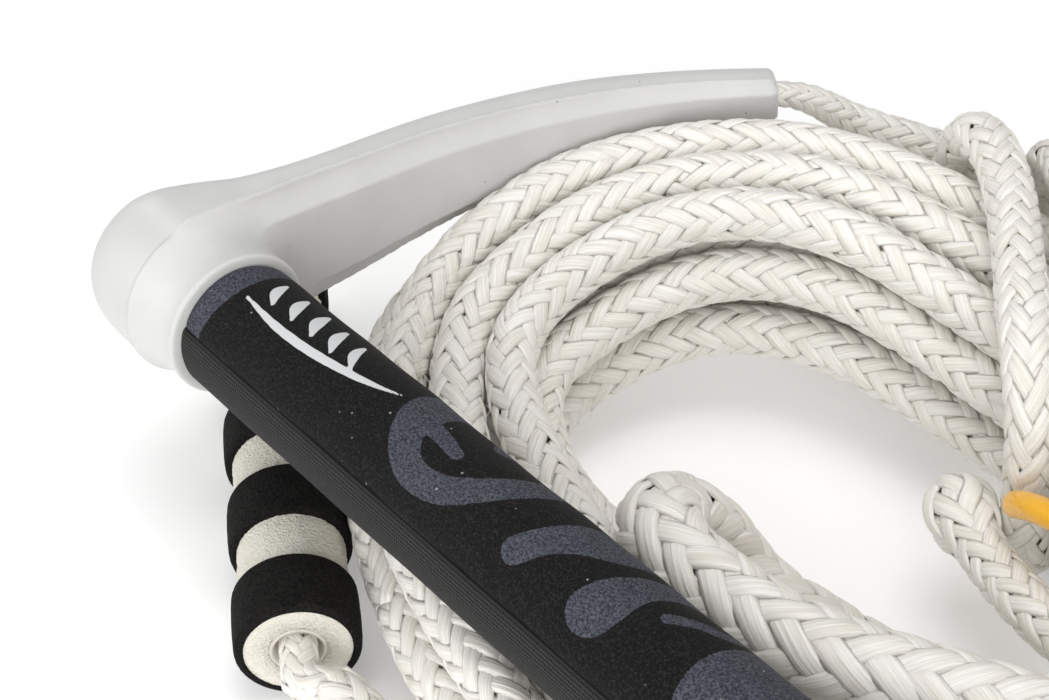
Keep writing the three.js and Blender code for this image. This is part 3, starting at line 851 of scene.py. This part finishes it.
def sheet_piece(name, x, angle, radius, attributes, material, node):
    a = np.radians(angle)
    points = np.stack([x, radius * np.cos(a), radius * np.sin(a)], -1).reshape(-1, 3)
    attributes = {key: value.ravel() for key, value in attributes.items()}
    sheet = mesh_object(name, points, grid_faces(*x.shape, False), attributes)
    modifier = sheet.modifiers.new("thickness", "SOLIDIFY")
    modifier.thickness = SHEET_THICKNESS * MM
    modifier.offset = -1
    finish_piece(sheet, material, "handle", [node])


def grip_covering(step):
    x, angle, seam, from_end = sheet_round_bar(TAPE_END, TAPE_START + 360, step, 10)
    shown = (angle + 60) % 360 - 60
    printed = print_distance(x, shown, SCROLLS, True)
    cuff = from_end + 0.8 * np.cos(np.radians(shown) * 2) - CUFF
    printed = np.minimum(printed, cuff)
    marked = print_distance(x, shown, MARKS, False)
    printed = np.where(marked < 1.2, np.maximum(printed, 1.2 - marked), printed)
    tuck = 0.35 * (1 - smooth_step(0, 1.4, seam)) + 0.5 * (1 - smooth_step(0, 1.2, from_end))
    swell = 0.1 * np.sin(x / 9.0 + angle / 40) + 0.08 * np.sin(x / 3.7 - angle / 17)
    radius = GRIP_R - 0.05 - tuck + swell
    attributes = {"print": printed, "mark": marked}
    sheet_piece("grip_covering", x, angle, radius, attributes, GRIP, "grip_cover")


def seam_tape(step):
    x, angle, seam, from_end = sheet_round_bar(TAPE_START, TAPE_END, step, 10)
    tuck = 0.45 * (1 - smooth_step(0, 1.0, seam)) + 0.5 * (1 - smooth_step(0, 1.2, from_end))
    radius = GRIP_R + 0.12 - tuck + 0.05 * np.sin(x / 6.0)
    attributes = {"around": np.radians(angle) * GRIP_R, "along": x, "edge": seam}
    sheet_piece("seam_tape_knit", x, angle, radius, attributes, TAPE, "seam_tape")


def grip():
    step = 0.6
    grip_covering(step)
    seam_tape(step)
    tube_low, tube_high = box_mm("bar_tube")
    inner_r = (tube_high - tube_low)[2] / 2 + 0.3
    profile = rounded_profile(-HALF_GRIP + 0.4, HALF_GRIP - 0.4, inner_r, GRIP_R - 1.1, 1.0, step=4.0)
    padding = turned_piece("grip_padding", profile, np.zeros(3), [1, 0, 0], 64)
    finish_piece(padding, FOAM, "handle", ["grip_foam"])


# ---- Float ----


def float_axis():
    """The float's front face middle, its heading, and its length, from the liner."""
    corners = corners_of("float_liner")
    joint = next(j for j in frame["joints"] if j["name"] == "float_slide")
    heading = unit(np.array(joint["axis"], float))
    middle = (corners.max(0) + corners.min(0)) / 2
    along = (corners - middle) @ heading
    return middle + along.min() * heading, heading, along.max() - along.min()


def node_reach(node, origin, axis):
    """Where a CAD node starts and ends along an axis, and how far it reaches from it."""
    offset = corners_of(node) - origin
    along = offset @ axis
    return along.min(), along.max(), np.linalg.norm(offset - along[:, None] * axis, axis=1).max()


BANDS = 5
NECK_SWELL = 0.8  # the soft foam swells between the bands
BAND_TRIM = 1.0  # and the bands draw in at their cut edges


def foam_float():
    origin, heading, length = float_axis()
    _, _, outer = node_reach("float_liner", origin, heading)
    liner = rounded_profile(-0.1, length + 0.1, outer - 0.8, outer, 0.3, step=8.0)
    piece = turned_piece("float_bore_tube", liner, origin, heading, 48)
    finish_piece(piece, PLASTIC, "float_tube", ["float_liner"])
    _, _, core_r = node_reach("float_core", origin, heading)
    core_r += NECK_SWELL
    core = rounded_profile(0.0, length, outer + 0.1, core_r, 0.5, step=0.9)
    piece = turned_piece("float_necks", core, origin, heading, 120, roughen=0.09)
    finish_piece(piece, CREAM, "float_foam", ["float_core"])
    for i in range(BANDS):
        node = f"float_ring_{i + 1}"
        start, end, radius = node_reach(node, origin, heading)
        start += BAND_TRIM if i > 0 else 0
        end -= BAND_TRIM if i < BANDS - 1 else 0
        profile = rounded_profile(start, end, core_r - 0.3, radius, 1.3, step=1.0, bulge=0.2)
        piece = turned_piece(f"float_band_{i + 1}", profile, origin, heading, 128, roughen=0.02)
        finish_piece(piece, FOAM, "float_foam", [node])


# ---- Rope paths ----

PATH_STEP = 4.0


class Strand:
    """A rope's middle line at equal steps, with its radius, while the ropes are being settled.

    The rope is held at its two ends and comes free over the lengths in held_ends.
    """

    def __init__(self, path, radius, held_ends):
        self.points = blurred(resample(path, PATH_STEP), 2)
        s = lengths(self.points)
        self.radius = np.broadcast_to(radius(s) if callable(radius) else radius, len(s)).astype(float)
        before, after = (max(length, 1e-3) for length in held_ends)
        self.free = smooth_step(0, before, s) * smooth_step(0, after, s[-1] - s)


SETTLED_GAP = 0.985  # how close two ropes may lie, as a share of their radii together
SAME_ROPE_REACH = 34  # a rope isn't pushed off its own next stretch


def settle(strands, rounds=60):
    """Pushes overlapping ropes apart and keeps them on or above the ground."""
    sizes = [len(k.points) for k in strands]
    parts = [slice(end - size, end) for size, end in zip(sizes, np.cumsum(sizes))]
    owner = np.repeat(np.arange(len(strands)), sizes)
    order = np.concatenate([np.arange(size) for size in sizes])
    radius = np.concatenate([k.radius for k in strands])
    free = np.concatenate([k.free for k in strands])
    p = np.concatenate([k.points for k in strands])
    start = p.copy()
    near = np.abs(order[:, None] - order[None]) * PATH_STEP < SAME_ROPE_REACH
    same = near & (owner[:, None] == owner[None])
    want = SETTLED_GAP * (radius[:, None] + radius[None])
    candidate = np.linalg.norm(p[:, None] - p[None], axis=-1) < want + 9
    i, j = np.nonzero(np.triu(candidate & ~same, 1))
    want = want[i, j]
    for turn in range(rounds):
        gap = p[i] - p[j]
        apart = np.linalg.norm(gap, axis=-1)
        push = np.maximum(want - apart, 0) * 0.35
        shove = gap / np.maximum(apart, 1e-6)[:, None] * push[:, None]
        total, hits = np.zeros_like(p), np.zeros(len(p))
        for side, sign in ((i, 1), (j, -1)):
            np.add.at(total, side, sign * shove)
            np.add.at(hits, side, push > 0)
        p = p + total / np.maximum(hits, 1)[:, None] ** 0.5 * free[:, None]
        p[:, 2] = np.where(free > 0, np.maximum(p[:, 2], GROUND + radius - 0.15), p[:, 2])
        if turn % 4 == 3:
            for part in parts:
                moved = p[part] - start[part]
                eased = blurred(moved, 1)
                p[part] = start[part] + moved + (eased - moved) * free[part][:, None]
    for k, part in zip(strands, parts):
        k.points = p[part]


LINE_NODES = ["line_lead", "line_in_float", "line_return", "line_coil", "line_end"]
LINE_LAY = 54.0
LINE_TWIST = 0.004
PIECE_RINGS = 690  # the longest piece of the tow line, in rings of the braid
FIRM_LAY = 52.0
THICK_LAY = 50.0
WORN_PLACE = np.array([-119.0, 34.0, -9.0])  # where the outer top turn has fluffed up
# Where the line gets thin before the float's front face and thick again past its back face.
SQUEEZE_IN = (-15.5, -8.0)
SQUEEZE_OUT = (15.0, 24.0)


def beside_float(path):
    """How far each point lies along the float's axis and away from it."""
    origin, heading, _ = float_axis()
    along = (path - origin) @ heading
    return along, np.linalg.norm(path - origin - along[:, None] * heading, axis=-1)


def float_radius(path):
    """The tow line's radius at each point: squeezed inside the float."""
    along, away = beside_float(path)
    past = along - float_axis()[2]
    inside = smooth_step(*SQUEEZE_IN, along) * (1 - smooth_step(*SQUEEZE_OUT, past)) * (away < 6)
    return ROPE_R + (LINE_IN_FLOAT_R - ROPE_R) * inside


def tow_line_strand():
    """The whole tow line: from the bridle knot, through the float, round the hank to the splice."""
    line = resample(joined(*[rope_rings(node) for node in LINE_NODES]), PATH_STEP)
    line = line + wander(len(line), PATH_STEP, 55, 1.5) * np.array([1, 1, 0.4])
    strand = Strand(line, ROPE_R, (20, 20))
    origin, heading, length = float_axis()
    along, away = beside_float(strand.points)
    in_float = (along > -9) & (along < length + 21) & (away < 12)
    strand.points[in_float] = (origin + along[:, None] * heading)[in_float]
    strand.free *= 1 - blurred(in_float.astype(float), 4).clip(0, 1)
    strand.radius = float_radius(strand.points)
    return strand


def leg_radius(s):
    return BRIDLE_R + 1.0 * smooth_step(40, 62, s) + 1.7 * smooth_step(56, 100, s)


def leg_strand(side):
    """A bridle leg, from just inside the arm's tip to the middle of the bridle knot."""
    leg = rope_rings(f"bridle_leg_{side}")
    inside = rope_rings("bridle_line")
    if np.sign(inside[0][0]) != np.sign(leg.mean(0)[0]):
        inside = inside[::-1]
    path = joined(inside[5::-1], leg, middle_of("bridle_knot")[None])
    return Strand(path, leg_radius, (90, 12))


def tail_strand():
    """The tie's tail, on through the middle of its stopper knot."""
    rings = rope_rings("tie_tail")
    stop = middle_of("stopper_knot")
    if np.linalg.norm(rings[0] - stop) < np.linalg.norm(rings[-1] - stop):
        rings = rings[::-1]
    return Strand(np.concatenate([rings, [stop, stop + (stop - rings[-1]) * 0.55]]), TAIL_R, (0, 25))


def loop_strand():
    """The end loop, with both its ends drawn on into the splice."""
    rings = rope_rings("end_loop")
    splice = middle_of("loop_splice")
    first, last = (splice + (rings[end] - splice) * 0.35 for end in (0, -1))
    return Strand(np.concatenate([[first], rings, [last]]), LOOP_R, (10, 10))


def tow_line(path, step):
    """The tow line as one braid, cut into pieces that share their end rings."""
    path = resample(path, step)
    pieces = max(1, math.ceil(len(path) / PIECE_RINGS))
    bounds = np.linspace(0, len(path) - 1, pieces + 1).astype(int)
    wide = 1 + 0.12 * blurred(rng.normal(size=len(path)), max(3, int(40 / step)))
    wide = np.clip(wide, 0.94, 1.06)
    *strands, hollow = braid(path, float_radius(path), LINE_LAY, 11, LINE_TWIST, wide)
    for index, (first, last) in enumerate(zip(bounds[:-1], bounds[1:])):
        part = slice(first, last + 1)
        obj = braid_object(f"tow_line_{index + 1}", *[array[:, part] for array in strands], hollow[part])
        finish_piece(obj, ROPE, "hank", LINE_NODES[index : index + 1])
    stray_fibres(path)


def bridle_leg(side, strand, step):
    path = resample(strand.points, step)
    radius = leg_radius(lengths(path))
    piece = rope_piece(f"bridle_{side}", path, radius, None, [f"bridle_leg_{side}"], FIRM_LAY, 31)
    hinge = next(j for j in frame["joints"] if j["name"] == "handle_lift")
    bend = (np.array(hinge["pos_m"]) / MM - BAR)[1] - ARM_TIP_Y
    ends = ([0, ARM_TIP_Y + share, 0] for share in (1.5, 2 * bend + 4))
    begin, finish = (tuple(to_world(end)) for end in ends)
    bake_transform(piece)


def bridle_knot():
    """An overhand knot pulled tight."""
    t = np.linspace(0, 2 * math.pi, 90)
    shape = np.stack([np.sin(t) + 2 * np.sin(2 * t), -np.sin(3 * t) * 1.3, np.cos(t) - 2 * np.cos(2 * t)], -1)
    path = resample(middle_of("bridle_knot") + shape * np.array([4.6, 4.2, 4.6]), 2.5)
    rope_piece("bridle_overhand_knot", path, 5.4, "hank", ["bridle_knot"], THICK_LAY, 71)


def tie_tail(strand, step):
    """The tie's tail, which swells into its stopper knot and ends in a dome."""
    path = resample(strand.points, step)
    s = lengths(path)
    past = s - (s[-1] - 17)
    bulb = TAIL_R + 2.6 * smooth_step(-3, 7, past)
    dome = np.sqrt(np.clip(1 - np.clip((past - 8.5) / 8.5, 0, 1) ** 2, 0.02, 1))
    nodes = ["tie_tail", "stopper_knot"]
    rope_piece("tie_tail_and_stopper", path, bulb * dome, "hank", nodes, FIRM_LAY, 52)


def splice_throat(line, step):
    """The splice, from the loop's closing point back into the tow line's last stretch."""
    rings = rope_rings("end_loop")
    start = (rings[0] + rings[-1]) / 2
    path = resample(np.array([start, middle_of("loop_splice"), line[-3], line[-7]]), step)
    share = lengths(path) / lengths(path)[-1]
    fat = 12.0 - 5.4 * smooth_step(0.15, 1, share)
    fat *= np.sqrt(np.clip(1 - (1 - np.clip(share / 0.12, 0, 1)) ** 2, 0.05, 1))
    rope_piece("splice_throat", path, fat, "hank", ["loop_splice"], THICK_LAY, 62)


def bungee():
    path = resample(rope_rings("bungee_core"), 1.0)
    s = lengths(path)
    from_end = np.minimum(s, s[-1] - s) / BUNGEE_R
    radius = BUNGEE_R * np.sqrt(np.clip(1 - np.clip(1 - from_end, 0, 1) ** 2, 0.02, 1))
    rings = rings_about(path, radius, 24)
    obj = mesh_object("bungee", rings.reshape(-1, 3), tube_faces(len(path), 24))
    finish_piece(obj, BUNGEE, "hank", ["bungee_core"])


FIBRE_R = 0.075
WORN_FIBRES = 26
LOOSE_FIBRES = 90


def stray_fibres(line):
    """Fine loose filaments that stand off the tow line, with one worn place where many do."""
    draw = np.random.default_rng(23)
    worn = np.linalg.norm(line - WORN_PLACE, axis=1).argmin()
    starts = np.r_[worn + draw.integers(-9, 10, WORN_FIBRES), draw.integers(20, len(line) - 20, LOOSE_FIBRES)]
    tangent = unit(np.gradient(line, axis=0))
    sides, steps = 4, 12
    t = np.linspace(0, 1, steps)[:, None]
    points, faces = [], []
    for number, i in enumerate(starts):
        in_worn_place = number < WORN_FIBRES
        long = draw.uniform(7, 17) if in_worn_place else draw.uniform(2.5, 7)
        out = unit(np.cross(tangent[i], draw.normal(size=3)))
        if in_worn_place:
            up = unit(CAMERA_PLACE - line[i]) + 0.5 * out
            out = unit(np.cross(np.cross(tangent[i], up), tangent[i]))
        along = tangent[i] * draw.choice([-1, 1])
        lift = draw.uniform(1.2, 4.5) if in_worn_place else draw.uniform(0.6, 1.6)
        swing = np.cross(tangent[i], out) * draw.uniform(-5, 5)
        curve = line[i] + out * (ROPE_R - 0.3 + lift * np.sin(2.6 * t)) + along * long * t + swing * t**2
        points.append(rings_about(curve, FIBRE_R, sides).reshape(-1, 3))
        faces.append(tube_faces(steps, sides, number * sides * steps))
    points = np.concatenate(points)
    marks = {"strand": np.zeros_like(points), "depth": np.ones(len(points))}
    obj = mesh_object("stray_fibres", points, np.concatenate(faces), marks)
    finish_piece(obj, ROPE, "hank", ())


def ropes():
    step = 1.8
    line = tow_line_strand()
    legs = {side: leg_strand(side) for side in ("left", "right")}
    tie = Strand(rope_rings("hank_tie"), TIE_R, (0, 0))
    tail = tail_strand()
    loop = loop_strand()
    settle([line, *legs.values(), tie, tail, loop])

    tow_line(line.points, step)
    bridle_knot()
    for side, strand in legs.items():
        bridle_leg(side, strand, min(step, 3.0))
    inside = resample(rope_rings("bridle_line"), 4.0)[3:-3]
    rope_piece("bridle_inside", inside, BRIDLE_R, "handle", ["bridle_line"], 36.0, 40)
    wraps = resample(tie.points, step)
    rope_piece("tie_wraps", wraps, TIE_R, "hank", ["hank_tie"], LINE_LAY, 51, 0.02)
    tie_tail(tail, min(step, 1.2))
    rope_piece("end_loop_braid", resample(loop.points, step), LOOP_R, "hank", ["end_loop"], THICK_LAY, 61)
    splice_throat(line.points, step)
    bungee()


# ---- Hidden hard parts ----


def hard_parts():
    for node, material in (("bar_tube", METAL), ("tube_plug_left", PLASTIC), ("tube_plug_right", PLASTIC)):
        paint(frame["nodes"][node], material)


# ---- Studio ----

# The camera in the handle's axes: where it is, which way it looks and which way is up.
CAMERA_PLACE = [221.7, -180.7, 317.7]
CAMERA_VIEW = [-0.61175, 0.45215, -0.64909]
CAMERA_UP = [-0.47834, 0.44209, 0.75878]
CAMERA_LENS = 78.93

# Name, place, target, size in millimetres, power in watts.
LAMPS = [
    ("left", [-670, -1000, 480], [-20, 40, -20], 740, 6.0),
    ("right", [1080, -600, 430], [-60, 60, -20], 860, 11.5),
    ("top", [-60, 120, 900], [0, 60, -20], 600, 3.6),
]


def aim(obj, place, view, up):
    view = unit(np.array(view, float))
    side = unit(np.cross(view, up))
    up = np.cross(side, view)
    turn = Matrix([[side[i], up[i], -view[i], 0] for i in range(3)] + [[0, 0, 0, 1]])
    obj.matrix_world = Matrix.Translation(to_world(place)) @ turn


def studio():
    scene = bpy.context.scene
    camera = bpy.data.objects.new("camera", bpy.data.cameras.new("camera"))
    camera.data.lens = CAMERA_LENS
    camera.data.sensor_width = 36.0
    camera.data.clip_start = 0.01
    scene.collection.objects.link(camera)
    aim(camera, CAMERA_PLACE, CAMERA_VIEW, CAMERA_UP)
    scene.camera = camera
    scene.view_settings.view_transform = "Standard"

    world = bpy.data.worlds.new("soft white")
    world.use_nodes = True
    background = world.node_tree.nodes["Background"]
    background.inputs["Color"].default_value = rgb(1.0, 1.0, 1.0)
    background.inputs["Strength"].default_value = 0.42
    scene.world = world

    size = 3000.0
    corners = np.array([[-size, -size], [size, -size], [size, size], [-size, size]])
    floor = mesh_object("floor", np.c_[corners, np.full(4, GROUND - 0.3)], [[0, 1, 2, 3]])
    s = Shader("pale floor")
    cloud = s.noise(s.place(), 3.0)
    floor.data.materials.append(
        s.done(
            Base_Color=s.mix(cloud, rgb(0.84, 0.84, 0.84), rgb(0.87, 0.87, 0.87)),
            Roughness=0.9,
            Emission_Color=rgb(1.0, 1.0, 1.0),
            Emission_Strength=0.24,
        )
    )

    for lamp in LAMPS:
        soft_light(*lamp)


def soft_light(name, place, target, size, power):
    data = bpy.data.lights.new(name, "AREA")
    data.shape = "SQUARE"
    data.size = size * MM
    data.energy = power
    lamp = bpy.data.objects.new(name, data)
    bpy.context.scene.collection.objects.link(lamp)
    aim(lamp, place, np.subtract(target, place), [0, 0, 1])


hard_parts()
arms()
grip()
foam_float()
ropes()
studio()

bpy.context.view_layer.update()
